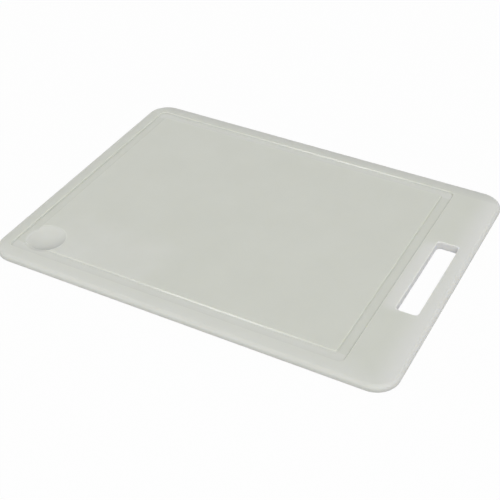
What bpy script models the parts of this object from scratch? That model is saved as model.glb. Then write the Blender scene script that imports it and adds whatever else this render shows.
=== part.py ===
"""One-piece moulded cutting board with a juice groove, a collecting well and a hand slot.

Metres, +Z up. The origin is under the middle of the board, on the surface that it lies on.
The long side runs along X, with the hand slot at the +X end. The well is in the -X, -Y corner.
"""
import math

import bmesh
import bpy

# Driving dimensions of the slab, in metres
LENGTH = 0.380
WIDTH = 0.290
THICKNESS = 0.008
CORNER_RADIUS = 0.021
EDGE_RUN = 0.004
EDGE_DROP = 0.0036

# Juice groove: its place from the slab's edges, and its section
SIDE_RIM = 0.014
END_RIM = 0.0121
GROOVE_WIDTH = 0.0102
GROOVE_DEPTH = 0.0015
GROOVE_WALL_ANGLE = math.radians(62)
GROOVE_LIP_ROUND = 0.0003
GROOVE_FLOOR_ROUND = 0.001
GROOVE_CORNER_RADIUS = 0.0055
FIELD_CORNER_RADIUS = 0.002

# Collecting well: a shallow dish over the groove's corner
WELL_RADIUS = 0.019
WELL_INSET = 0.0132
WELL_FLOOR = 0.003

# Hand slot: the grip bar is outside it, and the web is between it and the groove
SLOT_LENGTH = 0.104
SLOT_WIDTH = 0.0197
SLOT_CORNER_RADIUS = 0.0043
SLOT_EDGE_ROUND = 0.0006
GRIP_BAR = 0.014
SLOT_WEB = 0.0119

# A cutter leaves a face at this slope and runs on past the face by this much
LIP_ANGLE = math.radians(20)
OVERSHOOT = 0.0004

# Edges that turn more than this are shaded sharp
SHARP_ANGLE = math.radians(30)

# Facets of a corner, of a rounded edge and of the round well
CORNER_STEPS = 10
BEND_STEPS = 5
WELL_STEPS = 8
WELL_SIDES = 64

# Natural polyethylene: linear colour and surface
BOARD_COLOUR = (0.584, 0.597, 0.546, 1.0)
BOARD_ROUGHNESS = 0.45


class Outline:
    """A rectangle with rounded corners, seen from above."""

    def __init__(self, x_low, x_high, y_low, y_high, radius):
        self.x_low = x_low
        self.x_high = x_high
        self.y_low = y_low
        self.y_high = y_high
        shorter_side = min(x_high - x_low, y_high - y_low)
        self.radius = min(max(radius, OVERSHOOT), shorter_side / 2 - OVERSHOOT)

    def grown(self, distance):
        """The same outline with every side moved out by a distance."""
        return Outline(
            self.x_low - distance,
            self.x_high + distance,
            self.y_low - distance,
            self.y_high + distance,
            self.radius + distance,
        )

    def ring(self, z):
        """Points round the outline at height z, corner by corner."""
        right = self.x_high - self.radius
        left = self.x_low + self.radius
        back = self.y_high - self.radius
        front = self.y_low + self.radius
        corners = [(right, back), (left, back), (left, front), (right, front)]
        points = []
        for quarter, (x, y) in enumerate(corners):
            for step in range(CORNER_STEPS + 1):
                angle = math.pi / 2 * (quarter + step / CORNER_STEPS)
                points.append((x + self.radius * math.cos(angle), y + self.radius * math.sin(angle), z))
        return points


def circle_ring(x, y, radius, z):
    """Points round a circle at height z."""
    angles = [2 * math.pi * side / WELL_SIDES for side in range(WELL_SIDES)]
    return [(x + radius * math.cos(angle), y + radius * math.sin(angle), z) for angle in angles]


def bend(radius, start, end):
    """(run, drop) pairs along an arc whose slope goes from the start angle to the end angle."""
    pairs = []
    for step in range(BEND_STEPS + 1):
        angle = start + (end - start) * step / BEND_STEPS
        run = radius * abs(math.sin(angle) - math.sin(start))
        drop = radius * abs(math.cos(angle) - math.cos(start))
        pairs.append((run, drop))
    return pairs


def loft(name, rings, closed):
    """A solid skinned through rings of points, closed on itself or capped at both ends."""
    mesh = bpy.data.meshes.new(name)
    shape = bmesh.new()
    loops = [[shape.verts.new(point) for point in ring] for ring in rings]
    pairs = list(zip(loops, loops[1:]))
    if closed:
        pairs.append((loops[-1], loops[0]))
    else:
        shape.faces.new(loops[0])
        shape.faces.new(loops[-1])
    for lower, upper in pairs:
        for here in range(len(lower)):
            after = (here + 1) % len(lower)
            shape.faces.new((lower[here], lower[after], upper[after], upper[here]))
    bmesh.ops.recalc_face_normals(shape, faces=shape.faces)
    shape.to_mesh(mesh)
    shape.free()
    mesh.shade_smooth()
    mesh.set_sharp_from_angle(angle=SHARP_ANGLE)
    solid = bpy.data.objects.new(name, mesh)
    bpy.context.scene.collection.objects.link(solid)
    return solid


def cut(solid, cutter):
    """Take a cutter's shape out of a solid."""
    cutter.hide_render = True
    cutter.display_type = "WIRE"
    boolean = solid.modifiers.new(cutter.name, "BOOLEAN")
    boolean.operation = "DIFFERENCE"
    boolean.solver = "EXACT"
    boolean.object = cutter


def slab():
    """The board before cutting: a quarter of an ellipse rounds its edge above and below."""
    outline = Outline(-LENGTH / 2, LENGTH / 2, -WIDTH / 2, WIDTH / 2, CORNER_RADIUS)
    edge_drop = min(EDGE_DROP, THICKNESS / 2 - OVERSHOOT)
    edge = [((run - 1) * EDGE_RUN, drop * edge_drop) for run, drop in bend(1.0, 0.0, math.pi / 2)]
    lower = [outline.grown(offset).ring(drop) for offset, drop in edge]
    upper = [outline.grown(offset).ring(THICKNESS - drop) for offset, drop in reversed(edge)]
    return loft("board", lower + upper, closed=False)


def groove_outline():
    """Outline of the groove's outer edge, where the rim and the handle begin."""
    handle = GRIP_BAR + SLOT_WIDTH + SLOT_WEB
    return Outline(
        -LENGTH / 2 + END_RIM,
        LENGTH / 2 - handle,
        -WIDTH / 2 + SIDE_RIM,
        WIDTH / 2 - SIDE_RIM,
        GROOVE_CORNER_RADIUS,
    )


def cutting_field():
    """Outline of the raised field inside the groove."""
    outer = groove_outline()
    return Outline(
        outer.x_low + GROOVE_WIDTH,
        outer.x_high - GROOVE_WIDTH,
        outer.y_low + GROOVE_WIDTH,
        outer.y_high - GROOVE_WIDTH,
        FIELD_CORNER_RADIUS,
    )


def groove_side():
    """(run, drop) pairs from just above the top face down one wall to the groove's floor."""
    lip = bend(min(GROOVE_LIP_ROUND, GROOVE_DEPTH / 4), LIP_ANGLE, GROOVE_WALL_ANGLE)
    foot = bend(min(GROOVE_FLOOR_ROUND, GROOVE_DEPTH / 2), GROOVE_WALL_ANGLE, 0.0)
    wall_drop = GROOVE_DEPTH - lip[-1][1] - foot[-1][1]
    foot_run = lip[-1][0] + wall_drop / math.tan(GROOVE_WALL_ANGLE)
    foot_drop = lip[-1][1] + wall_drop
    above = (-OVERSHOOT, -OVERSHOOT * math.tan(LIP_ANGLE))
    return [above] + lip + [(foot_run + run, foot_drop + drop) for run, drop in foot]


def groove_cutter():
    """A closed trough that runs right round the cutting field."""
    field = cutting_field()
    outer = groove_outline()
    side = groove_side()
    field_wall = [field.grown(run).ring(THICKNESS - drop) for run, drop in side]
    rim_wall = [outer.grown(-run).ring(THICKNESS - drop) for run, drop in reversed(side)]
    return loft("groove_cutter", field_wall + rim_wall, closed=True)


def well_cutter():
    """A ball's cap, sunk into the corner of the field where the groove turns."""
    field = cutting_field()
    x = field.x_low + WELL_INSET
    y = field.y_low + WELL_INSET
    depth = THICKNESS - WELL_FLOOR
    ball = (WELL_RADIUS ** 2 + depth ** 2) / (2 * depth)
    rim_angle = math.asin(WELL_RADIUS / ball)
    rings = [circle_ring(x, y, WELL_RADIUS + OVERSHOOT, THICKNESS + OVERSHOOT * math.tan(rim_angle))]
    for step in range(WELL_STEPS):
        angle = rim_angle * (1 - step / WELL_STEPS)
        z = WELL_FLOOR + ball * (1 - math.cos(angle))
        rings.append(circle_ring(x, y, ball * math.sin(angle), z))
    return loft("well_cutter", rings, closed=False)


def slot_cutter():
    """The hand slot, flared at both faces so that its edges come out rounded."""
    x_high = LENGTH / 2 - GRIP_BAR
    slot = Outline(x_high - SLOT_WIDTH, x_high, -SLOT_LENGTH / 2, SLOT_LENGTH / 2, SLOT_CORNER_RADIUS)
    flare = bend(min(SLOT_EDGE_ROUND, THICKNESS / 2), LIP_ANGLE, math.pi / 2)
    flare_run = flare[-1][0]
    above = (-OVERSHOOT, -OVERSHOOT * math.tan(LIP_ANGLE))
    flare = [above] + flare
    lower = [slot.grown(flare_run - run).ring(drop) for run, drop in flare]
    upper = [slot.grown(flare_run - run).ring(THICKNESS - drop) for run, drop in reversed(flare)]
    return loft("slot_cutter", lower + upper, closed=False)


def natural_polyethylene():
    """Pale uncoloured plastic with a soft moulded surface."""
    material = bpy.data.materials.new("natural_polyethylene")
    material.use_nodes = True
    shader = material.node_tree.nodes["Principled BSDF"]
    shader.inputs["Base Color"].default_value = BOARD_COLOUR
    shader.inputs["Roughness"].default_value = BOARD_ROUGHNESS
    shader.inputs["Metallic"].default_value = 0.0
    return material


def main():
    for thing in list(bpy.data.objects):
        bpy.data.objects.remove(thing)
    board = slab()
    board.data.materials.append(natural_polyethylene())
    for cutter in (groove_cutter(), well_cutter(), slot_cutter()):
        cut(board, cutter)


main()
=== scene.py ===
import math

import bmesh
import bpy
from mathutils import Matrix, Vector


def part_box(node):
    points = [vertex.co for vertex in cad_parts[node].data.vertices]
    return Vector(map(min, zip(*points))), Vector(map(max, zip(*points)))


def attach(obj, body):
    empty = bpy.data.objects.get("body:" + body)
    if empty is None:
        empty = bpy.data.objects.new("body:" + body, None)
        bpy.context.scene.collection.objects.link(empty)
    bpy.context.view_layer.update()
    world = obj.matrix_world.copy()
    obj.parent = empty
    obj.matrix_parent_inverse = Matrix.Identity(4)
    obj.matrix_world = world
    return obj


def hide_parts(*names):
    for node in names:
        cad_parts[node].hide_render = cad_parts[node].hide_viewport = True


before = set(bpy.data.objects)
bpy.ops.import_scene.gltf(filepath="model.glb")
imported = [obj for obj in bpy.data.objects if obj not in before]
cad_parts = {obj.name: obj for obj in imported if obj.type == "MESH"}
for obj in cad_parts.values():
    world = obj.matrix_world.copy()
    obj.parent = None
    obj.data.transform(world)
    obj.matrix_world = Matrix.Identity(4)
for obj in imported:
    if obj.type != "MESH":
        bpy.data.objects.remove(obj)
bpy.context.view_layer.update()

MM = 0.001

# The board's own sizes: the slab comes from the frame, the rest follows the solid
slab_low, slab_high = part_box("board")
THICKNESS = slab_high.z - slab_low.z
CORNER_RADIUS = 21 * MM
EDGE_RUN = 4 * MM
EDGE_DROP = 3.6 * MM
SIDE_RIM = 14 * MM
END_RIM = 12.1 * MM
GROOVE_WIDTH = 10.2 * MM
GROOVE_DEPTH = 1.5 * MM
GROOVE_WALL_ANGLE = math.radians(62)
GROOVE_LIP_ROUND = 0.3 * MM
GROOVE_FLOOR_ROUND = 0.5 * MM
GROOVE_CORNER_RADIUS = 5.5 * MM
FIELD_CORNER_RADIUS = 2 * MM
WELL_RADIUS = 19 * MM
WELL_INSET = 13.2 * MM
WELL_FLOOR = 3 * MM
WELL_WALL_ANGLE = math.radians(29)
WELL_LIP_ROUND = 2 * MM
WELL_FLOOR_ROUND = 36 * MM
SLOT_LENGTH = 104 * MM
SLOT_WIDTH = 19.7 * MM
SLOT_CORNER_RADIUS = 4.3 * MM
SLOT_EDGE_ROUND = 0.6 * MM
GRIP_BAR = 14 * MM
SLOT_WEB = 11.9 * MM

# The cutters meet a face at this small slope, so that each lip runs smoothly into the face
LIP_ANGLE = math.radians(4)
OVERSHOOT = 0.3 * MM

# Points nearer than a sliver are merged, and edges that turn more than the sharp angle stay crisp
SLIVER = 0.01 * MM
SHARP_ANGLE = math.radians(20)
FLAT_FACE_WEIGHT = 100

# Fineness of the mesh: facets of a corner, of a rounding, and round the well
CORNER_STEPS = 24
BEND_STEPS = 10
WELL_SIDES = 128

# Natural polyethylene: the two tones of its clouds, and the colours of its painted light and painted shade
DARK_CLOUD = "#C7C9C0"
PALE_CLOUD = "#CDCFC7"
PAINTED_LIGHT_COLOUR = "#DADAD9"
PAINTED_SHADE_COLOUR = "#BCBDB9"

# Clouds and mould grit, with their sizes in millimetres
CLOUD_SIZE = 45
CLOUD_DETAIL = 4.0
CLOUD_ROUGHNESS = 0.6
GRAIN_SIZE = 0.6
GRAIN_DETAIL = 2.0
GRAIN_DEPTH = 0.05 * MM
GRAIN_STRENGTH = 0.15

# How far each patch of painted light or painted shade reaches, or fades at its border
GRIP_REACH = 28 * MM
WEB_REACH = 14 * MM
SLOT_WALL_FADE = 0.6 * MM
FRONT_REACH = 26 * MM
LEFT_REACH = 15 * MM
EDGE_REACH = 5 * MM
PAINTED_SHEEN_FADE = 30 * MM
CUT_FADE = 1 * MM
WELL_FADE = 2 * MM

# Across the well, from its centre towards its shaded side, which lies this far round from the front
# towards the grip end: painted light fades out and painted shade grows between the two ends of its reach
WELL_SHADED_AZIMUTH = math.radians(50)
WELL_SHADED_SIDE = Vector((math.sin(WELL_SHADED_AZIMUTH), -math.cos(WELL_SHADED_AZIMUTH), 0))
WELL_LIT_REACH = (-6 * MM, 10 * MM)
WELL_SHADED_REACH = (0 * MM, 13 * MM)

# How strong each patch of painted light or painted shade is, as a share of its colour
GRIP_PAINTED_LIGHT = 0.64
WEB_PAINTED_LIGHT = 0.54
SLOT_WALL_PAINTED_LIGHT = 1.0
FRONT_PAINTED_LIGHT = 0.33
LONG_LEG_PAINTED_LIGHT = 0.3
WELL_PAINTED_LIGHT = 0.34
PAINTED_SHEEN_STRENGTH = 0.35
NEAR_EDGE_PAINTED_SHADE = 0.28
FAR_EDGE_PAINTED_SHADE = 0.8
FAR_SIDE_BLEND = 0.3
LEFT_RIM_PAINTED_SHADE = 0.35
BACK_RIM_PAINTED_SHADE = 0.25
BACK_EDGE_PAINTED_SHADE = 0.9
WELL_PAINTED_SHADE = 0.75

# A share that eases in and out between its two ends
SMOOTH = {"interpolation_type": "SMOOTHSTEP"}

# The skin: satin on the faces, smoother in the groove and the well
SATIN_DULL = 0.54
SATIN_SMOOTH = 0.46
POLISHED = 0.15
POLISH_START = 0.05 * MM
POLISH_FULL = 0.4 * MM
POLYETHYLENE_IOR = 1.51
SCATTER_COLOURS = (1.0, 0.95, 0.85)
SCATTER_DEPTH = 2.5 * MM

# The studio: a white table a hair's breadth under the board, and even light from all round
TABLE_HALF = 3.0
TABLE_GAP = 0.1 * MM
TABLE_COLOUR = "#CBCBCB"
TABLE_WHITE_SHARE = 0.97
AROUND_STRENGTH = 0.862

# The photograph's camera: where it stands and what it looks at
PICTURE_PIXELS = 500
FOCAL_PIXELS = 1078.3
SENSOR_WIDTH = 36.0
CAMERA_AZIMUTH = math.radians(27.64)
CAMERA_ELEVATION = math.radians(37.679)
CAMERA_ROLL = math.radians(0.213)
CAMERA_DISTANCE = 959.9 * MM
CAMERA_TARGET = Vector((9.69, -28.88, 0)) * MM


class Outline:
    """A rectangle with rounded corners, seen from above."""

    def __init__(self, x_low, x_high, y_low, y_high, radius):
        self.x_low = x_low
        self.x_high = x_high
        self.y_low = y_low
        self.y_high = y_high
        self.radius = radius

    def grown(self, distance):
        """The same outline with every side moved out by a distance."""
        return Outline(
            self.x_low - distance,
            self.x_high + distance,
            self.y_low - distance,
            self.y_high + distance,
            self.radius + distance,
        )

    def ring(self, z):
        """Points round the outline at height z, corner by corner."""
        right = self.x_high - self.radius
        left = self.x_low + self.radius
        back = self.y_high - self.radius
        front = self.y_low + self.radius
        corners = [(right, back), (left, back), (left, front), (right, front)]
        points = []
        for quarter, (x, y) in enumerate(corners):
            for step in range(CORNER_STEPS + 1):
                angle = math.pi / 2 * (quarter + step / CORNER_STEPS)
                points.append((x + self.radius * math.cos(angle), y + self.radius * math.sin(angle), z))
        return points


SLAB = Outline(slab_low.x, slab_high.x, slab_low.y, slab_high.y, CORNER_RADIUS)
GROOVE = Outline(
    slab_low.x + END_RIM,
    slab_high.x - GRIP_BAR - SLOT_WIDTH - SLOT_WEB,
    slab_low.y + SIDE_RIM,
    slab_high.y - SIDE_RIM,
    GROOVE_CORNER_RADIUS,
)
FIELD = Outline(
    GROOVE.x_low + GROOVE_WIDTH,
    GROOVE.x_high - GROOVE_WIDTH,
    GROOVE.y_low + GROOVE_WIDTH,
    GROOVE.y_high - GROOVE_WIDTH,
    FIELD_CORNER_RADIUS,
)
SLOT = Outline(
    slab_high.x - GRIP_BAR - SLOT_WIDTH,
    slab_high.x - GRIP_BAR,
    -SLOT_LENGTH / 2,
    SLOT_LENGTH / 2,
    SLOT_CORNER_RADIUS,
)

# The well's centre, also as an outline of no size that distances are taken from
WELL_CENTRE = Vector((FIELD.x_low + WELL_INSET, FIELD.y_low + WELL_INSET, 0))
WELL_MIDDLE = Outline(WELL_CENTRE.x, WELL_CENTRE.x, WELL_CENTRE.y, WELL_CENTRE.y, 0.0)

# The hearts of two patches of painted light: a painted sheen on the field beside the well, and light on the
# web beside the slot
PAINTED_SHEEN_PATCH = Outline(-140 * MM, -55 * MM, -118 * MM, -80 * MM, 0.0)
WEB = Outline(SLOT.x_low - 3 * MM, SLOT.x_low, -46 * MM, 40 * MM, 0.0)


def bend(radius, start, end):
    """(run, drop) pairs along an arc whose slope goes from the start angle to the end angle."""
    pairs = []
    for step in range(BEND_STEPS + 1):
        angle = start + (end - start) * step / BEND_STEPS
        run = radius * abs(math.sin(angle) - math.sin(start))
        drop = radius * abs(math.cos(angle) - math.cos(start))
        pairs.append((run, drop))
    return pairs


def circle_ring(centre, radius, z):
    """Points round a circle at height z."""
    points = []
    for side in range(WELL_SIDES):
        angle = 2 * math.pi * side / WELL_SIDES
        points.append((centre.x + radius * math.cos(angle), centre.y + radius * math.sin(angle), z))
    return points


def loft(name, rings, closed):
    """A solid skinned through rings of points, closed on itself or capped at both ends."""
    mesh = bpy.data.meshes.new(name)
    shape = bmesh.new()
    loops = [[shape.verts.new(point) for point in ring] for ring in rings]
    pairs = list(zip(loops, loops[1:]))
    if closed:
        pairs.append((loops[-1], loops[0]))
    else:
        shape.faces.new(loops[0])
        shape.faces.new(loops[-1])
    for lower, upper in pairs:
        for here in range(len(lower)):
            after = (here + 1) % len(lower)
            shape.faces.new((lower[here], lower[after], upper[after], upper[here]))
    bmesh.ops.recalc_face_normals(shape, faces=shape.faces)
    shape.to_mesh(mesh)
    shape.free()
    solid = bpy.data.objects.new(name, mesh)
    bpy.context.scene.collection.objects.link(solid)
    return solid


def slab():
    """The plain slab: a quarter of an ellipse rounds its edge above and below."""
    edge = [((run - 1) * EDGE_RUN, drop * EDGE_DROP) for run, drop in bend(1.0, 0.0, math.pi / 2)]
    lower = [SLAB.grown(offset).ring(drop) for offset, drop in edge]
    upper = [SLAB.grown(offset).ring(THICKNESS - drop) for offset, drop in reversed(edge)]
    return loft("board_moulding", lower + upper, closed=False)


def cut_side(depth, wall_angle, lip_round, floor_round):
    """(run, drop) pairs from just above the top face down the wall of a cut to its floor."""
    lip = bend(lip_round, LIP_ANGLE, wall_angle)
    foot = bend(floor_round, wall_angle, 0.0)
    wall_drop = depth - lip[-1][1] - foot[-1][1]
    foot_run = lip[-1][0] + wall_drop / math.tan(wall_angle)
    foot_drop = lip[-1][1] + wall_drop
    above = (-OVERSHOOT, -OVERSHOOT * math.tan(LIP_ANGLE))
    return [above] + lip + [(foot_run + run, foot_drop + drop) for run, drop in foot]


def groove_cutter():
    """The juice groove's trough, right round the cutting field."""
    side = cut_side(GROOVE_DEPTH, GROOVE_WALL_ANGLE, GROOVE_LIP_ROUND, GROOVE_FLOOR_ROUND)
    field_wall = [FIELD.grown(run).ring(THICKNESS - drop) for run, drop in side]
    rim_wall = [GROOVE.grown(-run).ring(THICKNESS - drop) for run, drop in reversed(side)]
    return loft("groove_cutter", field_wall + rim_wall, closed=True)


def well_cutter():
    """The collecting well: a round dish with a soft bottom."""
    side = cut_side(THICKNESS - WELL_FLOOR, WELL_WALL_ANGLE, WELL_LIP_ROUND, WELL_FLOOR_ROUND)
    rings = [circle_ring(WELL_CENTRE, WELL_RADIUS - run, THICKNESS - drop) for run, drop in side]
    return loft("well_cutter", rings, closed=False)


def slot_cutter():
    """The hand slot, flared at both faces so that its edges come out rounded."""
    flare = bend(SLOT_EDGE_ROUND, LIP_ANGLE, math.pi / 2)
    flare_run = flare[-1][0]
    flare = [(-OVERSHOOT, -OVERSHOOT * math.tan(LIP_ANGLE))] + flare
    lower = [SLOT.grown(flare_run - run).ring(drop) for run, drop in flare]
    upper = [SLOT.grown(flare_run - run).ring(THICKNESS - drop) for run, drop in reversed(flare)]
    return loft("slot_cutter", lower + upper, closed=False)


def board_moulding():
    """The whole moulding as one fine mesh, with its cuts made and its flats shaded flat."""
    board = slab()
    cutters = [groove_cutter(), well_cutter(), slot_cutter()]
    for cutter in cutters:
        boolean = board.modifiers.new(cutter.name, "BOOLEAN")
        boolean.operation = "DIFFERENCE"
        boolean.solver = "EXACT"
        boolean.object = cutter
    bpy.context.view_layer.update()
    ready = board.evaluated_get(bpy.context.evaluated_depsgraph_get())
    mesh = bpy.data.meshes.new_from_object(ready)
    board.modifiers.clear()
    board.data = mesh
    for cutter in cutters:
        bpy.data.objects.remove(cutter)

    # Slivers are left where two cuts cross
    shape = bmesh.new()
    shape.from_mesh(mesh)
    bmesh.ops.remove_doubles(shape, verts=shape.verts, dist=SLIVER)
    shape.to_mesh(mesh)
    shape.free()
    mesh.shade_smooth()
    mesh.set_sharp_from_angle(angle=SHARP_ANGLE)
    weighted = board.modifiers.new("flat_faces", "WEIGHTED_NORMAL")
    weighted.keep_sharp = True
    weighted.weight = FLAT_FACE_WEIGHT
    return board


def linear(code):
    """A linear colour from an sRGB hex code."""
    shares = [int(code[place:place + 2], 16) / 255 for place in (1, 3, 5)]
    return [s / 12.92 if s <= 0.04045 else ((s + 0.055) / 1.055) ** 2.4 for s in shares] + [1.0]


def per_mm(size):
    """A texture's scale for features of a size in millimetres."""
    return 1 / (size * MM)


def add_node(tree, kind, settings=None, inputs=None):
    """Add a node, set its properties, and set or link its inputs."""
    node = tree.nodes.new(kind)
    for name, value in (settings or {}).items():
        setattr(node, name, value)
    for name, value in (inputs or {}).items():
        if isinstance(value, bpy.types.NodeSocket):
            tree.links.new(value, node.inputs[name])
        else:
            node.inputs[name].default_value = value
    return node


def distance_outside(tree, place, outline):
    """Distance of a place from a straight-sided outline, seen from above, and nothing inside it."""
    # A half height of one metre is far more than the board's, so height never counts
    middle = ((outline.x_low + outline.x_high) / 2, (outline.y_low + outline.y_high) / 2, 0)
    half = ((outline.x_high - outline.x_low) / 2, (outline.y_high - outline.y_low) / 2, 1)
    from_middle = add_node(tree, "ShaderNodeVectorMath", {"operation": "SUBTRACT"}, {0: place, 1: middle})
    each_side = add_node(tree, "ShaderNodeVectorMath", {"operation": "ABSOLUTE"}, {
        0: from_middle.outputs["Vector"]})
    past_edge = add_node(tree, "ShaderNodeVectorMath", {"operation": "SUBTRACT"}, {
        0: each_side.outputs["Vector"], 1: half})
    outside = add_node(tree, "ShaderNodeVectorMath", {"operation": "MAXIMUM"}, {
        0: past_edge.outputs["Vector"], 1: (0, 0, 0)})
    length = add_node(tree, "ShaderNodeVectorMath", {"operation": "LENGTH"}, {0: outside.outputs["Vector"]})
    return length.outputs["Value"]


def above_underside(tree, along):
    """One from the well's floor up, and nothing on the underside, which has no cuts."""
    above = add_node(tree, "ShaderNodeMath", {"operation": "GREATER_THAN"}, {
        0: along.outputs["Z"], 1: WELL_FLOOR / 2})
    return above.outputs[0]


def share_in_cuts(tree, place, along):
    """One over the field and the groove, falling to nothing on the rim and the handle."""
    return add_node(tree, "ShaderNodeMapRange", SMOOTH, {
        "Value": distance_outside(tree, place, FIELD), "From Min": GROOVE_WIDTH,
        "From Max": GROOVE_WIDTH + CUT_FADE, "To Min": above_underside(tree, along), "To Max": 0.0})


def well_patch(tree, place, along, reach, strengths):
    """A patch of painted light or painted shade in the well that changes in strength from its lit side to
    its shaded side.
    """
    from_centre = add_node(tree, "ShaderNodeVectorMath", {"operation": "SUBTRACT"}, {
        0: place, 1: WELL_CENTRE})
    across = add_node(tree, "ShaderNodeVectorMath", {"operation": "DOT_PRODUCT"}, {
        0: from_centre.outputs["Vector"], 1: WELL_SHADED_SIDE})
    strength = add_node(tree, "ShaderNodeMapRange", SMOOTH, {
        "Value": across.outputs["Value"], "From Min": reach[0], "From Max": reach[1],
        "To Min": strengths[0], "To Max": strengths[1]})
    in_well = add_node(tree, "ShaderNodeMapRange", SMOOTH, {
        "Value": distance_outside(tree, place, WELL_MIDDLE), "From Min": WELL_RADIUS - WELL_FADE,
        "From Max": WELL_RADIUS, "To Min": above_underside(tree, along), "To Max": 0.0})
    return add_node(tree, "ShaderNodeMath", {"operation": "MULTIPLY"}, {
        0: strength.outputs["Result"], 1: in_well.outputs["Result"]})


def painted_light_share(tree, place, along, cloud):
    """How much painted light lies on the plastic, from nothing to one."""
    # Painted light at the grip end, on the web, in the slot and along the front
    grip_end = add_node(tree, "ShaderNodeMapRange", SMOOTH, {
        "Value": along.outputs["X"], "From Min": SLAB.x_high - GRIP_REACH, "From Max": SLAB.x_high,
        "To Min": 0.0, "To Max": GRIP_PAINTED_LIGHT})
    web = add_node(tree, "ShaderNodeMapRange", SMOOTH, {
        "Value": distance_outside(tree, place, WEB), "From Min": 0.0, "From Max": WEB_REACH,
        "To Min": WEB_PAINTED_LIGHT, "To Max": 0.0})
    slot_wall = add_node(tree, "ShaderNodeMapRange", SMOOTH, {
        "Value": distance_outside(tree, place, SLOT), "From Min": 0.0, "From Max": SLOT_WALL_FADE,
        "To Min": SLOT_WALL_PAINTED_LIGHT, "To Max": 0.0})
    front_edge = add_node(tree, "ShaderNodeMapRange", SMOOTH, {
        "Value": along.outputs["Y"], "From Min": SLAB.y_low, "From Max": SLAB.y_low + FRONT_REACH,
        "To Min": FRONT_PAINTED_LIGHT, "To Max": 0.0})

    # Painted light on the groove's floor along its two long legs, as far as the well
    from_middle = add_node(tree, "ShaderNodeMath", {"operation": "ABSOLUTE"}, {0: along.outputs["Y"]})
    leg = add_node(tree, "ShaderNodeMapRange", SMOOTH, {
        "Value": from_middle.outputs[0], "From Min": FIELD.y_high - CUT_FADE, "From Max": FIELD.y_high,
        "To Min": 0.0, "To Max": LONG_LEG_PAINTED_LIGHT})
    depth = add_node(tree, "ShaderNodeMapRange", inputs={
        "Value": along.outputs["Z"], "From Min": THICKNESS - GROOVE_DEPTH, "From Max": THICKNESS,
        "To Min": 1.0, "To Max": 0.0})
    beside_well = add_node(tree, "ShaderNodeMapRange", SMOOTH, {
        "Value": distance_outside(tree, place, WELL_MIDDLE),
        "From Min": WELL_RADIUS - WELL_FADE, "From Max": WELL_RADIUS})
    groove_floor = leg.outputs["Result"]
    for share in (depth, beside_well, share_in_cuts(tree, place, along)):
        groove_floor = add_node(tree, "ShaderNodeMath", {"operation": "MULTIPLY"}, {
            0: groove_floor, 1: share.outputs["Result"]}).outputs[0]

    # A faint uneven painted sheen lies on the field beside the well, and painted light on the well's back
    # left side
    sheen_place = add_node(tree, "ShaderNodeMapRange", SMOOTH, {
        "Value": distance_outside(tree, place, PAINTED_SHEEN_PATCH), "From Min": 0.0, "From Max": PAINTED_SHEEN_FADE,
        "To Min": PAINTED_SHEEN_STRENGTH, "To Max": 0.0})
    sheen = add_node(tree, "ShaderNodeMath", {"operation": "MULTIPLY"}, {
        0: sheen_place.outputs["Result"], 1: cloud.outputs["Fac"]})
    well_wall = well_patch(tree, place, along, WELL_LIT_REACH, (WELL_PAINTED_LIGHT, 0.0))

    whitest = groove_floor
    for layer in (well_wall, sheen, grip_end, web, slot_wall, front_edge):
        whitest = add_node(tree, "ShaderNodeMath", {"operation": "MAXIMUM"}, {
            0: whitest, 1: layer.outputs[0]}).outputs[0]
    return whitest


def painted_shade_share(tree, place, along):
    """How much painted shade lies on the plastic, from nothing to one."""
    # Painted shade on the rounded edge, most of all at the back and on the left
    edge = add_node(tree, "ShaderNodeMapRange", SMOOTH, {
        "Value": distance_outside(tree, place, SLAB.grown(-CORNER_RADIUS)),
        "From Min": CORNER_RADIUS - EDGE_REACH, "From Max": CORNER_RADIUS})
    towards_back_left = Vector((-1 / SLAB.x_high, 1 / SLAB.y_high, 0))
    far_side = add_node(tree, "ShaderNodeVectorMath", {"operation": "DOT_PRODUCT"}, {
        0: place, 1: towards_back_left})
    side = add_node(tree, "ShaderNodeMapRange", SMOOTH, {
        "Value": far_side.outputs["Value"], "From Min": -FAR_SIDE_BLEND, "From Max": FAR_SIDE_BLEND,
        "To Min": NEAR_EDGE_PAINTED_SHADE, "To Max": FAR_EDGE_PAINTED_SHADE})
    outer_edge = add_node(tree, "ShaderNodeMath", {"operation": "MULTIPLY"}, {
        0: edge.outputs["Result"], 1: side.outputs["Result"]})

    # Painted shade on the left rim, the back rim and the well's front right side
    left_rim = add_node(tree, "ShaderNodeMapRange", SMOOTH, {
        "Value": along.outputs["X"], "From Min": SLAB.x_low, "From Max": SLAB.x_low + LEFT_REACH,
        "To Min": LEFT_RIM_PAINTED_SHADE, "To Max": 0.0})
    back_rise = add_node(tree, "ShaderNodeMapRange", SMOOTH, {
        "Value": along.outputs["Y"], "From Min": GROOVE.y_high, "From Max": SLAB.y_high,
        "To Min": BACK_RIM_PAINTED_SHADE, "To Max": BACK_EDGE_PAINTED_SHADE})
    past_groove = add_node(tree, "ShaderNodeMath", {"operation": "GREATER_THAN"}, {
        0: along.outputs["Y"], 1: GROOVE.y_high})
    back_rim = add_node(tree, "ShaderNodeMath", {"operation": "MULTIPLY"}, {
        0: back_rise.outputs["Result"], 1: past_groove.outputs[0]})
    well_wall = well_patch(tree, place, along, WELL_SHADED_REACH, (0.0, WELL_PAINTED_SHADE))

    greyest = outer_edge.outputs[0]
    for layer in (left_rim, back_rim, well_wall):
        greyest = add_node(tree, "ShaderNodeMath", {"operation": "MAXIMUM"}, {
            0: greyest, 1: layer.outputs[0]}).outputs[0]
    return greyest


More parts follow.
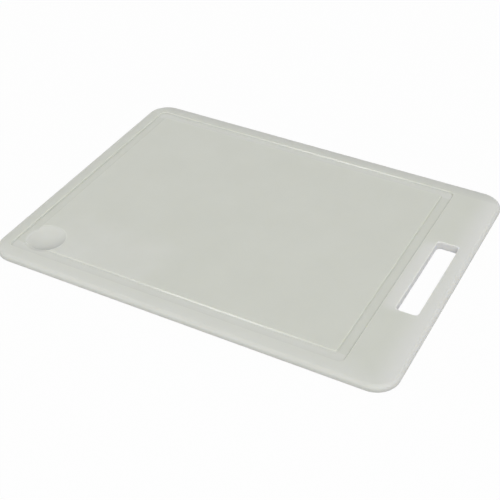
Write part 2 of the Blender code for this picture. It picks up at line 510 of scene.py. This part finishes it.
def skin_roughness(tree, place, along, cloud):
    """Satin faces, smoother in places, and a polished groove and well."""
    satin = add_node(tree, "ShaderNodeMapRange", inputs={
        "Value": cloud.outputs["Fac"], "To Min": SATIN_DULL, "To Max": SATIN_SMOOTH})
    below_face = add_node(tree, "ShaderNodeMapRange", SMOOTH, {
        "Value": along.outputs["Z"], "From Min": THICKNESS - POLISH_FULL,
        "From Max": THICKNESS - POLISH_START, "To Min": 1.0, "To Max": 0.0})
    polished = add_node(tree, "ShaderNodeMath", {"operation": "MULTIPLY"}, {
        0: below_face.outputs["Result"], 1: share_in_cuts(tree, place, along).outputs["Result"]})
    roughness = add_node(tree, "ShaderNodeMapRange", inputs={
        "Value": polished.outputs[0], "To Min": satin.outputs["Result"], "To Max": POLISHED})
    return roughness.outputs["Result"]


def moulded_polyethylene():
    """Natural polyethylene, moulded: waxy, cloudy and slightly translucent, with a satin skin."""
    material = bpy.data.materials.new("moulded_natural_polyethylene")
    material.use_nodes = True
    tree = material.node_tree
    shader = tree.nodes["Principled BSDF"]
    place = add_node(tree, "ShaderNodeTexCoord").outputs["Object"]
    along = add_node(tree, "ShaderNodeSeparateXYZ", inputs={"Vector": place})

    # The melt's flow leaves soft clouds a few centimetres wide, with a finer mottle in them
    cloud = add_node(tree, "ShaderNodeTexNoise", inputs={
        "Vector": place, "Scale": per_mm(CLOUD_SIZE), "Detail": CLOUD_DETAIL, "Roughness": CLOUD_ROUGHNESS})
    bulk = add_node(tree, "ShaderNodeMix", {"data_type": "RGBA"}, {
        "Factor": cloud.outputs["Fac"], "A": linear(DARK_CLOUD), "B": linear(PALE_CLOUD)})
    # Painted light and then painted shade are laid over the clouds' colour
    with_painted_light = add_node(tree, "ShaderNodeMix", {"data_type": "RGBA"}, {
        "Factor": painted_light_share(tree, place, along, cloud), "A": bulk.outputs["Result"], "B": linear(PAINTED_LIGHT_COLOUR)})
    colour = add_node(tree, "ShaderNodeMix", {"data_type": "RGBA"}, {
        "Factor": painted_shade_share(tree, place, along), "A": with_painted_light.outputs["Result"], "B": linear(PAINTED_SHADE_COLOUR)})
    tree.links.new(colour.outputs["Result"], shader.inputs["Base Color"])
    tree.links.new(skin_roughness(tree, place, along, cloud), shader.inputs["Roughness"])

    # The mould's fine grit, drawn coarser than it is so that it shows
    grain = add_node(tree, "ShaderNodeTexNoise", inputs={
        "Vector": place, "Scale": per_mm(GRAIN_SIZE), "Detail": GRAIN_DETAIL})
    bump = add_node(tree, "ShaderNodeBump", inputs={
        "Height": grain.outputs["Fac"], "Strength": GRAIN_STRENGTH, "Distance": GRAIN_DEPTH})
    tree.links.new(bump.outputs["Normal"], shader.inputs["Normal"])

    # Uncoloured plastic lets light in and scatters it, so that edges and cuts look soft
    shader.inputs["IOR"].default_value = POLYETHYLENE_IOR
    shader.inputs["Subsurface Weight"].default_value = 1.0
    shader.inputs["Subsurface Radius"].default_value = SCATTER_COLOURS
    shader.inputs["Subsurface Scale"].default_value = SCATTER_DEPTH
    return material


def seamless_white(tree, lit_shader, share):
    """Shader that shows white at a share to the camera and in reflections, and the rest as lit."""
    path = add_node(tree, "ShaderNodeLightPath")
    seen = add_node(tree, "ShaderNodeMath", {"operation": "MAXIMUM"}, {
        0: path.outputs["Is Camera Ray"], 1: path.outputs["Is Glossy Ray"]})
    seen = add_node(tree, "ShaderNodeMath", {"operation": "MAXIMUM"}, {
        0: seen.outputs[0], 1: path.outputs["Is Transmission Ray"]})
    part = add_node(tree, "ShaderNodeMath", {"operation": "MULTIPLY"}, {0: seen.outputs[0], 1: share})
    white = add_node(tree, "ShaderNodeEmission", inputs={"Strength": 1.0})
    return add_node(tree, "ShaderNodeMixShader", inputs={
        0: part.outputs[0], 1: lit_shader.outputs[0], 2: white.outputs[0]})


def studio_floor():
    """A wide white table just under the board, which keeps a faint shadow of it."""
    height = slab_low.z - TABLE_GAP
    corners = [
        (-TABLE_HALF, -TABLE_HALF, height),
        (TABLE_HALF, -TABLE_HALF, height),
        (TABLE_HALF, TABLE_HALF, height),
        (-TABLE_HALF, TABLE_HALF, height),
    ]
    mesh = bpy.data.meshes.new("table")
    mesh.from_pydata(corners, [], [(0, 1, 2, 3)])
    table = bpy.data.objects.new("table", mesh)
    bpy.context.scene.collection.objects.link(table)
    material = bpy.data.materials.new("white_table")
    material.use_nodes = True
    tree = material.node_tree
    tree.nodes.clear()
    lit = add_node(tree, "ShaderNodeBsdfDiffuse", inputs={"Color": linear(TABLE_COLOUR)})
    shown = seamless_white(tree, lit, TABLE_WHITE_SHARE)
    add_node(tree, "ShaderNodeOutputMaterial", inputs={"Surface": shown.outputs[0]})
    mesh.materials.append(material)


def studio_light(name, azimuth, elevation, distance, width, height, power):
    """A softbox aimed at the board."""
    lamp = bpy.data.lights.new(name, "AREA")
    lamp.shape = "RECTANGLE"
    lamp.size = width
    lamp.size_y = height
    lamp.energy = power
    box = bpy.data.objects.new(name, lamp)
    turn = Matrix.Rotation(math.radians(azimuth), 4, "Z")
    tilt = Matrix.Rotation(math.radians(90 - elevation), 4, "X")
    box.matrix_world = turn @ tilt @ Matrix.Translation((0, 0, distance))
    bpy.context.scene.collection.objects.link(box)


def studio_world():
    """Even light from all round, seen as white."""
    world = bpy.data.worlds.new("studio")
    bpy.context.scene.world = world
    world.use_nodes = True
    tree = world.node_tree
    tree.nodes.clear()
    around = add_node(tree, "ShaderNodeBackground", inputs={"Strength": AROUND_STRENGTH})
    shown = seamless_white(tree, around, 1.0)
    add_node(tree, "ShaderNodeOutputWorld", inputs={"Surface": shown.outputs[0]})


def photograph_camera():
    """The camera where the photograph was taken from."""
    lens = bpy.data.cameras.new("photograph_camera")
    lens.sensor_width = SENSOR_WIDTH
    lens.lens = SENSOR_WIDTH * FOCAL_PIXELS / PICTURE_PIXELS
    camera = bpy.data.objects.new("photograph_camera", lens)
    turn = (
        Matrix.Rotation(CAMERA_AZIMUTH, 4, "Z")
        @ Matrix.Rotation(math.pi / 2 - CAMERA_ELEVATION, 4, "X")
        @ Matrix.Rotation(CAMERA_ROLL, 4, "Z")
    )
    away = Matrix.Translation((0, 0, CAMERA_DISTANCE))
    camera.matrix_world = Matrix.Translation(CAMERA_TARGET) @ turn @ away
    bpy.context.scene.collection.objects.link(camera)
    bpy.context.scene.camera = camera


board = board_moulding()
board.data.materials.clear()
board.data.materials.append(moulded_polyethylene())
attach(board, "root")
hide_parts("board")

studio_floor()
studio_light("softbox_right", azimuth=42, elevation=42, distance=4.0, width=2.8, height=2.8, power=72.0)
studio_light("strip_left", azimuth=-20, elevation=16, distance=1.7, width=0.33, height=0.6, power=3.0)
studio_world()
photograph_camera()
bpy.context.scene.view_settings.view_transform = "Standard"
